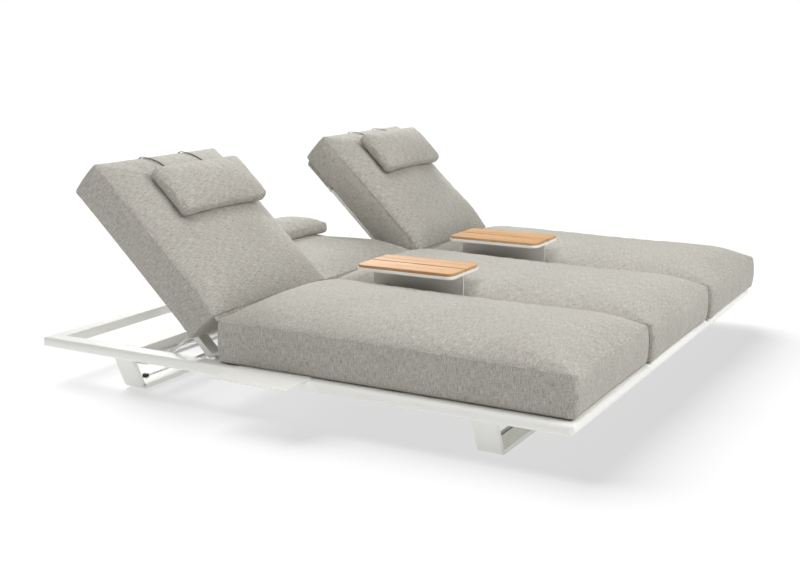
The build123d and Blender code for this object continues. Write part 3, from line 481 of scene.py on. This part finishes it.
        # bottom grid inside the last ring
        lastring = rings[-1]
        sa = (self.L - 2 * self.br) / self.L
        sb = (2 * self.W - 2 * self.br) / (2 * self.W)
        inset = np.clip(edge_d / 0.075, 0, 1)
        bot = np.stack([self.L / 2 + (pa - self.L / 2) * sa, pb * sb,
                        -self.depth - self.sag * inset * inset * (3 - 2 * inset)], 1)
        bot_id = -np.ones((na, nb), int)
        for k, (i, j) in enumerate(loop):
            bot_id[i, j] = ring_id[-1][k]
        inner = [(i, j) for i in range(1, na - 1) for j in range(1, nb - 1)]
        for i, j in inner:
            bot_id[i, j] = base
            base += 1
        verts.append(np.array([bot[i * nb + j] for i, j in inner]))
        V = np.concatenate(verts)
        faces, uvs = [], []
        for i in range(na - 1):
            for j in range(nb - 1):
                q = (top_id[i, j], top_id[i + 1, j], top_id[i + 1, j + 1], top_id[i, j + 1])
                faces.append(q)
                for x in q:
                    uvs.append((V[x][0], V[x][1]))
        prev = lid
        per_next = np.append(per[1:], self.per_len)
        for r, ids in enumerate(ring_id):
            for k in range(nl):
                k2 = (k + 1) % nl
                q = (prev[k], ids[k], ids[k2], prev[k2])
                faces.append(q)
                p0, p1 = per[k], per_next[k]
                for x, pp in zip(q, (p0, p0, p1, p1)):
                    uvs.append((pp, V[x][2] * 1.0 + 3.0))
            prev = ids
        for i in range(na - 1):
            for j in range(nb - 1):
                q = (bot_id[i, j], bot_id[i, j + 1], bot_id[i + 1, j + 1], bot_id[i + 1, j])
                faces.append(q)
                for x in q:
                    uvs.append((V[x][0] + 5.0, V[x][1]))
        self.V, self.F, self.UV = V, faces, uvs
        self.lid, self.ring_id, self.loop_N, self.per = lid, ring_id, N, per
        self.top_n = na * nb
        self.AA, self.BB = AA.ravel(), BB.ravel()
        self.edge_d = edge_d


def neighbours(n, faces):
    a, b = [], []
    for f in faces:
        for k in range(len(f)):
            a.append(f[k])
            b.append(f[(k + 1) % len(f)])
    a, b = np.array(a), np.array(b)
    return np.concatenate([a, b]), np.concatenate([b, a])


def smooth_field(d, na, nb, n, its):
    """Repeated neighbour average of a per-vertex field."""
    cnt = np.bincount(na, minlength=n).astype(float)[:, None]
    for _ in range(its):
        acc = np.zeros_like(d)
        np.add.at(acc, na, d[nb])
        d = 0.35 * d + 0.65 * acc / cnt
    return d


def simulate(cu, name, pin_ids, pressure=4.0, slack=0.012, frames=16, stiff=8.0, cap=0.006, gain=1.0, smooth_its=40):
    """Cloth run on the closed cover with its seam pinned. What is kept is the cover's
    own fine movement, its creases and pulls; the broad swelling is taken out."""
    ob = make_mesh(name + "_sim", cu.V, cu.F, FABRIC)
    vg = ob.vertex_groups.new(name="pin")
    vg.add([int(i) for i in pin_ids], 1.0, "REPLACE")
    md = ob.modifiers.new("cloth", "CLOTH")
    st = md.settings
    st.quality = 4
    st.mass = 0.35
    st.tension_stiffness = stiff
    st.compression_stiffness = stiff
    st.shear_stiffness = stiff * 0.4
    st.bending_stiffness = 0.25
    st.tension_damping = 6
    st.compression_damping = 6
    st.air_damping = 3
    st.use_pressure = True
    st.uniform_pressure_force = pressure
    st.shrink_min = -slack
    st.vertex_group_mass = "pin"
    st.effector_weights.gravity = 0.0
    md.collision_settings.use_collision = False
    md.collision_settings.use_self_collision = False
    md.point_cache.frame_start, md.point_cache.frame_end = 1, frames + 2
    sc = bpy.context.scene
    for f in range(1, frames + 1):
        sc.frame_set(f)
    ev = ob.evaluated_get(bpy.context.evaluated_depsgraph_get())
    co = np.empty(len(ev.data.vertices) * 3, np.float64)
    ev.data.vertices.foreach_get("co", co)
    co = co.reshape(-1, 3)
    sc.frame_set(1)
    bpy.data.objects.remove(ob)
    d = co - cu.V
    bad = ~np.isfinite(d).all(1)
    d[bad] = 0
    na, nb = neighbours(len(cu.V), cu.F)
    hi = (d - smooth_field(d, na, nb, len(cu.V), smooth_its)) * gain
    ln = np.linalg.norm(hi, axis=1)
    k = cap * np.tanh(ln / cap) / np.maximum(ln, 1e-9)
    print(name, "cloth: raw move", round(float(np.abs(d).max()), 4), "kept", round(float(ln.max()), 4), round(float(ln.mean()), 5))
    return cu.V + hi * k[:, None]


def back_axes(theta):
    c, s = math.cos(math.radians(theta)), math.sin(math.radians(theta))
    return Vector((-c, 0, s)), Vector((s, 0, c))


def back_matrix(mod, y):
    u, n = back_axes(THETA[mod])
    m = Matrix.Identity(4)
    m.col[0] = (*u, 0)
    m.col[1] = (0, -1, 0, 0)
    m.col[2] = (*n, 0)
    m.col[3] = (HINGE_X[mod], y + OY, HINGE_Z, 1)
    return m


def apply_matrix(co, m):
    a = np.array(m, float)
    return co @ a[:3, :3].T + a[:3, 3]


# ------------------------------------------------------------------ cushions
seat = Cushion(SEAT_X1["near"] - SEAT_X0["near"], CUSH_W["near"], CREST, 0.311 - SEAT_BOT, 0.170, 0.175, 2.2, 2.4,
               corner=0.021, bottom_r=0.013, bulge=0.0026, step=0.0165, seam=(0.0065, -0.0065), ring_n=9,
               sag=0.0025, edge_soft=0.33, end_bulge=0.0085, box=2.2, head_bulge=0.0095)
back = Cushion(BACK_LEN["near"], CUSH_W["near"], BACK_CREST, BACK_T, 0.165, 0.165, 2.4, 2.7,
               corner=0.016, bottom_r=0.011, bulge=0.0030, step=0.0150, ring_n=9, edge_soft=0.44, end_bulge=0.004, box=2.5, head_bulge=0.0)
pillow = Cushion(0.205, 0.240, 0.031, 0.047, 0.090, 0.090, 2.6, 2.6, corner=0.022, bottom_r=0.021,
                 bulge=0.0035, groove=0.0010, step=0.0080, pull=0.004, ring_n=6, edge_soft=0.40, box=2.3)


def corner_puckers(cu, co, amp, reach, seed):
    """Short gathers that run out of the seam near the four corners."""
    V = cu.V
    L, W = cu.L, cu.W
    corners = [(0, -W), (0, W), (L, -W), (L, W)]
    out = co.copy()
    for q, (ca, cb) in enumerate(corners):
        d = np.hypot(V[:, 0] - ca, V[:, 1] - cb)
        ang = np.arctan2(np.abs(V[:, 1] - cb), np.abs(V[:, 0] - ca))
        wz = np.exp(-((V[:, 2] - 0.0) / 0.035) ** 2)
        fall = np.exp(-((d - 0.030) / reach) ** 2) * wz
        wave = np.sin(ang * 9.0 + q * 1.7 + seed) * 0.6 + np.sin(ang * 17.0 + q * 2.9 + seed * 1.3) * 0.4
        out[:, 2] += amp * fall * wave
    return out


def end_gathers(cu, co, amp, seed):
    """Vertical gather wrinkles on the two short ends of a pillow's boxing."""
    V = cu.V
    d_end = cu.W - np.abs(V[:, 1])
    on_end = np.exp(-(np.clip(d_end, 0, 1) / 0.022) ** 2)
    s = V[:, 0] / cu.L
    prof = np.exp(-((V[:, 2] + 0.004) / 0.026) ** 2)
    wav = (np.sin(V[:, 0] * 2 * np.pi / 0.0130 + 1.9 * np.sin(V[:, 0] * 41 + seed) + seed)
           * (0.65 + 0.35 * np.sin(V[:, 0] * 57 + seed * 2)))
    env = np.clip(np.sin(np.pi * np.clip(s, 0, 1)), 0, 1) ** 0.35
    out = co.copy()
    out[:, 1] += np.sign(V[:, 1]) * amp * on_end * prof * wav * env
    out[:, 2] += 0.45 * amp * on_end * prof * wav * env
    return out


def pins_of(cu, bottom=True):
    ids = set(int(i) for i in cu.lid)
    if bottom:
        ids |= set(int(i) for i in range(int(cu.ring_id[-1][0]), len(cu.V)))
    return sorted(ids)


shapes = {
    "seat": simulate(seat, "seat", pins_of(seat), 3.0, 0.010, 14, cap=0.0035, gain=1.0),
    "back": simulate(back, "back", pins_of(back), 3.0, 0.012, 14, cap=0.0035, gain=1.0),
    "pillow": simulate(pillow, "pillow", pins_of(pillow), 2.5, 0.02, 16, cap=0.0035, gain=1.0),
}


def finish_cushion(cu, co, seed, waves, wave_len=5.0, scale_b=1.0, mirror=False, puck=0.0018, scale_a=1.0):
    """Slow unevenness of foam and cover, seam puckers, then the module's own width."""
    co = corner_puckers(cu, co, puck, 0.030, seed)
    n = fbm(cu.V + seed, wave_len, seed, 3)
    keep = np.clip((cu.V[:, 2] + cu.depth) / 0.03, 0, 1)
    up = np.zeros_like(co)
    up[: cu.top_n, 2] = 1
    seam_fade = np.ones(len(co))
    seam_fade[: cu.top_n] = np.clip(cu.edge_d / 0.05, 0.15, 1)
    co = co + up * (n * waves * seam_fade)[:, None]
    # the walls are not dead flat either
    for r, ids in enumerate(cu.ring_id[:-4]):
        t = r / max(1, len(cu.ring_id) - 5)
        k = math.sin(math.pi * min(1, max(0, t))) * waves * 0.8
        wn = fbm(cu.V[ids] + 3 + seed, wave_len * 1.6, seed + 7, 2)
        co[ids, :2] += cu.loop_N * (wn * k)[:, None]
    co[:, 0] *= scale_a
    co[:, 1] *= scale_b
    if mirror:
        co[:, 1] *= -1
    return co


def flipped(faces, uvs):
    f2 = [tuple(reversed(f)) for f in faces]
    u2, k = [], 0
    for f in faces:
        u2 += list(reversed(uvs[k:k + len(f)]))
        k += len(f)
    return f2, u2


def add_cushion(name, cu, co, matrix, mirror, mat=None, uv_shift=(0, 0)):
    faces, uvs = (flipped(cu.F, cu.UV) if mirror else (cu.F, cu.UV))
    uvs = [(u + uv_shift[0], v + uv_shift[1]) for u, v in uvs]
    ob = make_mesh(name, apply_matrix(co, matrix), faces, mat or FABRIC, uvs)
    sb = ob.modifiers.new("fine", "SUBSURF")
    sb.levels = 1
    sb.render_levels = 1
    return ob


objs = {}
for i, m in enumerate(MODS):
    sc_b = CUSH_W[m] / CUSH_W["near"]
    mir = m == "far"
    # seat cushion
    co = finish_cushion(seat, shapes["seat"], 2.3 + 5 * i, 0.0020, 3.2, sc_b, mir,
                        scale_a=(SEAT_X1[m] - SEAT_X0[m]) / seat.L)
    # the covers lie flat against the tables' plates that stand between the cushions
    lo = {"near": -2.0, "middle": -BEAM_Y, "far": BEAM_Y}[m] + 0.0027 - CUSH_Y[m]
    hi = {"near": -BEAM_Y, "middle": BEAM_Y, "far": 2.0}[m] - 0.0027 - CUSH_Y[m]
    co[:, 1] = np.clip(co[:, 1], lo, hi)
    co[:, 0] = np.maximum(co[:, 0], -0.0115)
    mat4 = Matrix.Translation((SEAT_X0[m], CUSH_Y[m] + OY, 0.311))
    ob = add_cushion(f"cushion_seat_{m}", seat, co, mat4, mir, uv_shift=(i * 1.37, i * 0.71))
    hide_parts(f"seat_cushion_{m}")
    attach(ob, "platform")
    objs["seat_" + m] = ob
    # back cushion
    co = finish_cushion(back, shapes["back"], 9.1 + 4 * i, 0.0018, 3.6, sc_b, mir, scale_a=BACK_LEN[m] / back.L)
    co[: back.top_n, 2] *= np.where(co[: back.top_n, 2] > 0, BACK_PUFF[m], 1.0)
    co[back.top_n:, 2] *= BACK_DEEP[m] / BACK_T
    # the end face leans away from the seat, which leaves room for it when the back lies flat
    co[:, 0] = np.maximum(co[:, 0], 0.0035 + 0.0125 * np.clip(-co[:, 2] / 0.075, 0, 1) ** 0.8)
    ob = add_cushion(f"cushion_back_{m}", back, co, back_matrix(m, CUSH_Y[m]), mir, uv_shift=(i * 2.1 + 0.4, i * 1.3))
    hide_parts(f"back_cushion_{m}")
    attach(ob, f"back_{m}")
    objs["back_" + m] = ob
    # head pillow, standing on the back cushion's crown
    co = end_gathers(pillow, shapes["pillow"], 0.0030, 1.1 + 2.3 * i)
    co = finish_cushion(pillow, co, 4.4 + 3 * i, 0.0012, 9.0, 1.0, mir, 0.0012)
    co[:, 2] -= 0.006 * np.abs(co[:, 1] / pillow.W) ** 2.2
    pm = back_matrix(m, CUSH_Y[m] + PILLOW_DY[m]) @ Matrix.Translation(
        (PILLOW_S[m], 0, 0.0490 + BACK_CREST * BACK_PUFF[m]))
    ob = add_cushion(f"pillow_{m}", pillow, co, pm, mir, uv_shift=(i * 0.9 + 2.2, i * 0.53))
    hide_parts(f"head_pillow_{m}")
    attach(ob, f"pillow_{m}")
    objs["pillow_" + m] = ob


# ------------------------------------------------------------------ straps, pockets, fold fabric
def ribbon(name, path, normals, width_dir, w, t, mat):
    """A flat band with rounded edges along a path of points."""
    prof = [(-w / 2, 0.15 * t), (-w / 2 + 0.2 * t, 0), (w / 2 - 0.2 * t, 0), (w / 2, 0.15 * t),
            (w / 2, 0.85 * t), (w / 2 - 0.2 * t, t), (-w / 2 + 0.2 * t, t), (-w / 2, 0.85 * t)]
    V, F, UV = [], [], []
    n = len(prof)
    dist = 0.0
    d = [0.0]
    for i in range(1, len(path)):
        dist += (path[i] - path[i - 1]).length
        d.append(dist)
    for p, nn in zip(path, normals):
        for x, y in prof:
            V.append(p + width_dir * x + nn * y)
    for i in range(len(path) - 1):
        for j in range(n):
            j2 = (j + 1) % n
            F.append((i * n + j, (i + 1) * n + j, (i + 1) * n + j2, i * n + j2))
            for (dd, q) in ((d[i], j), (d[i + 1], j), (d[i + 1], j + 1), (d[i], j + 1)):
                UV.append((q * w / 4, dd))
    F.append(tuple(range(n)))
    UV += [(0, 0)] * n
    F.append(tuple(reversed(range((len(path) - 1) * n, len(path) * n))))
    UV += [(0, 0)] * n
    return make_mesh(name, V, F, mat, UV)


for i, m in enumerate(MODS):
    u, n = back_axes(THETA[m])
    sc_b = CUSH_W[m] / CUSH_W["near"]
    sc_a = BACK_LEN[m] / back.L
    org = Vector((HINGE_X[m], CUSH_Y[m] + OY, HINGE_Z))
    for q, dy in enumerate((-0.112, 0.112)):
        yy = PILLOW_DY[m] * 0.8 + dy
        path, nor = [], []
        e = back.L
        ss = list(np.linspace(0.400, e - 0.012, 40))
        puff = BACK_PUFF[m]
        hs = [float(back.top(s, yy / sc_b)) * puff + 0.0012 for s in ss]
        # down the end face, eased over the seam
        pts = list(zip(ss, hs)) + [(e - 0.005, float(back.top(e - 0.005, yy / sc_b)) * puff + 0.0018), (e - 0.0008, 0.0022),
                                   (e + 0.0014, -0.006), (e + 0.0034, -0.018)]
        pts += [(e + 0.0034 + 0.0022 * math.sin(math.pi * k / 10), -0.018 - 0.0100 * k) for k in range(1, 10)]
        pts = [(a * sc_a, c) for a, c in pts]
        P = [org + u * a + n * c + Vector((0, yy, 0)) for a, c in pts]
        for k in range(len(P)):
            t = (P[min(k + 1, len(P) - 1)] - P[max(k - 1, 0)]).normalized()
            nor.append(t.cross(Vector((0, 1, 0))).normalized() * 1.0)
        if nor[0].dot(n) < 0:
            nor = [-v for v in nor]
        ob = ribbon(f"strap_{m}_{q}", P, nor, Vector((0, 1, 0)), 0.0078, 0.0018, WEBBING)
        if q == 0:
            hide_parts(f"pillow_straps_{m}")
        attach(ob, f"back_{m}")

    # pocket: one cloth sheet over the frame's end, sewn to the cushion's back, in the darker copy of the cloth as
    # painted shade
    PY, S0, S1, D = 0.2955, 0.512, min(0.6965, BACK_LEN[m] - 0.0025), 0.1805 - BACK_DEEP[m]
    ny, ns = 90, 44
    co, UV, F = [], [], []
    yy = np.linspace(-1, 1, ny + 1)
    yy = np.sign(yy) * (1 - (1 - np.abs(yy)) ** 1.35)
    ssv = 1 - (1 - np.linspace(0, 1, ns + 1)) ** 1.4
    fy = FRAME_Y[m] + OY
    for a in ssv:
        for b in yy:
            s = S0 + (S1 - S0) * a
            y = PY * b
            ey = 1 - max(0.0, (abs(b) - 1 + 0.055) / 0.055) ** 2.6
            es = 1 - max(0.0, (a - 1 + 0.10) / 0.10) ** 3.2
            wob = noise.noise(Vector((s * 9 + i, y * 7, 2.0))) * 0.0016 + 0.0009 * math.sin(y * 95 + 2 * math.sin(y * 31)) * math.exp(-(S1 - s) / 0.03)
            dd = D * max(ey, 0) * max(es, 0)
            co.append(Vector((HINGE_X[m], fy + y, HINGE_Z)) + u * s + n * (-BACK_DEEP[m] - 0.0004 - dd - wob * (dd / D)))
            UV.append((y, s))
    for a in range(ns):
        for b in range(ny):
            k = a * (ny + 1) + b
            F.append((k, k + 1, k + ny + 2, k + ny + 1))
    loops = [UV[v] for f in F for v in f]
    ob = make_mesh(f"pocket_{m}", co, F, FABRIC_PAINTED_SHADE, loops)
    so = ob.modifiers.new("cloth_thickness", "SOLIDIFY")
    so.thickness = 0.0022
    so.offset = 0.0
    sb = ob.modifiers.new("fine", "SUBSURF")
    sb.levels = sb.render_levels = 1
    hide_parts(f"frame_pocket_{m}")
    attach(ob, f"back_{m}")

    # hem of the pocket, a folded double edge, in the same darker cloth as painted shade
    hem = []
    for b in np.linspace(-1, 1, 121):
        y = PY * b
        ey = 1 - max(0.0, (abs(b) - 1 + 0.055) / 0.055) ** 2.6
        wob = noise.noise(Vector((S0 * 9 + i, y * 7, 2.0))) * 0.0016
        hem.append(Vector((HINGE_X[m], fy + y, HINGE_Z)) + u * (S0 + 0.006) + n * (-BACK_DEEP[m] - 0.0004 - D * max(ey, 0) - wob * max(ey, 0)))
    nor = [-n] * len(hem)
    ob = ribbon(f"pocket_hem_{m}", hem, nor, u, 0.016, 0.0016, FABRIC_PAINTED_SHADE)
    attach(ob, f"back_{m}")

    # fold fabric between seat and back cushion: a narrow gathered strip on the fold line, in the darker cloth as
    # painted shade in the crease
    y0 = CUSH_Y[m] + OY
    half = CUSH_W[m] - 0.003
    th = math.radians(THETA[m])
    seat_pt = Vector((SEAT_X0[m] + 0.004, 0, 0.311 + 0.0065 - 0.004))
    back_pt = Vector((HINGE_X[m], 0, HINGE_Z)) + u * 0.004 - n * 0.004
    ny, nk = 150, 8
    co, UV, F = [], [], []
    for b in range(ny + 1):
        y = -half + 2 * half * b / ny
        for k in range(nk + 1):
            t = k / nk
            p = seat_pt.lerp(back_pt, t)
            lift = math.sin(math.pi * t)
            sag = -0.006 * lift + 0.0022 * lift * math.sin(y * 210 + 2.2 * math.sin(y * 37 + i)) * (0.5 + 0.5 * abs(y) / half)
            co.append(p + Vector((0, y0 + y, sag)))
            UV.append((y, t * 0.02))
    for b in range(ny):
        for k in range(nk):
            q = b * (nk + 1) + k
            F.append((q, q + 1, q + nk + 2, q + nk + 1))
    loops = [UV[v] for f in F for v in f]
    ob = make_mesh(f"fold_strip_{m}", co, F, FABRIC_PAINTED_SHADE, loops)
    so = ob.modifiers.new("cloth_thickness", "SOLIDIFY")
    so.thickness = 0.0016
    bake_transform(ob)

# ------------------------------------------------------------------ floor, light, camera
k = Mat("floor")
k.b.inputs["Base Color"].default_value = (0.10, 0.10, 0.10, 1)
k.b.inputs["Roughness"].default_value = 1.0
k.b.inputs["Specular IOR Level"].default_value = 0.0
k.b.inputs["Emission Color"].default_value = (1, 1, 1, 1)
k.b.inputs["Emission Strength"].default_value = 0.655
fl = make_mesh("floor", [(-60, -60, -0.0005), (60, -60, -0.0005), (60, 60, -0.0005), (-60, 60, -0.0005)], [(0, 1, 2, 3)], k.m, smooth=False)
fl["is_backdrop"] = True

world = bpy.data.worlds.new("studio")
bpy.context.scene.world = world
world.use_nodes = True
wt = world.node_tree
bg = wt.nodes["Background"]
tc = wt.nodes.new("ShaderNodeTexCoord")
sep = wt.nodes.new("ShaderNodeSeparateXYZ")
rp = wt.nodes.new("ShaderNodeValToRGB")
wt.links.new(tc.outputs["Generated"], sep.inputs[0])
wt.links.new(sep.outputs["Z"], rp.inputs["Fac"])
el = rp.color_ramp.elements
el[0].position, el[0].color = 0.0, (1.02, 1.02, 1.02, 1)
el[1].position, el[1].color = 1.0, (0.06, 0.06, 0.06, 1)
e = el.new(0.075)
e.color = (1.02, 1.02, 1.02, 1)
e = el.new(0.14)
e.color = (0.06, 0.06, 0.06, 1)
wt.links.new(rp.outputs["Color"], bg.inputs["Color"])
bg.inputs["Strength"].default_value = 1.0


def area(name, loc, target, size, power, col=(1, 1, 1)):
    li = bpy.data.lights.new(name, "AREA")
    li.shape = "RECTANGLE"
    li.size, li.size_y = size
    li.energy = power
    li.color = col
    ob = bpy.data.objects.new(name, li)
    bpy.context.scene.collection.objects.link(ob)
    ob.location = loc
    ob.rotation_mode = "QUATERNION"
    ob.rotation_quaternion = (Vector(target) - Vector(loc)).to_track_quat("-Z", "Y")
    return ob


def only_for(light, name, obj, state):
    """Limits what a lamp falls on, so the floor keeps its own soft shadow."""
    group = bpy.data.collections.new(name)
    group.objects.link(obj)
    group.collection_objects[0].light_linking.link_state = state
    light.light_linking.receiver_collection = group


AIM = (0.0, 0.06, 0.3)
lamps = [
    area("head_far", (-3.0, 3.0, 3.2), AIM, (2.0, 2.0), 226),
    area("overhead", (0.0, -0.80, 4.5), AIM, (2.6, 2.6), 59),
    area("foot_high", (3.6, 0.0, 3.2), AIM, (2.5, 2.5), 126),
    area("near_high", (0.3, -3.2, 3.8), AIM, (2.5, 2.5), 55),
    area("near_low", (0.5, -5.0, 2.4), AIM, (3.0, 2.0), 1),
]
for q, li in enumerate(lamps):
    only_for(li, f"lit_object_{q}", fl, "EXCLUDE")

sun = bpy.data.lights.new("floor_sun", "SUN")
sun.energy = 18.2
sun.angle = math.radians(57)
so = bpy.data.objects.new("floor_sun", sun)
bpy.context.scene.collection.objects.link(so)
so.rotation_mode = "QUATERNION"
so.rotation_quaternion = Vector((0.86, -0.42, -1.0)).to_track_quat("-Z", "Y")
only_for(so, "lit_floor", fl, "INCLUDE")

cam = bpy.data.cameras.new("camera")
cam.lens = 53.46
cam.sensor_width = 36.0
cam.sensor_fit = "HORIZONTAL"
cam.clip_start, cam.clip_end = 0.05, 300
co = bpy.data.objects.new("camera", cam)
bpy.context.scene.collection.objects.link(co)
co.location = (2.192, -4.167 + OY, 1.282)
co.rotation_euler = (math.radians(90 - 12.29), math.radians(0.05), math.radians(29.05))
bpy.context.scene.camera = co
bpy.context.scene.view_settings.view_transform = "Standard"

lo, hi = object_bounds()
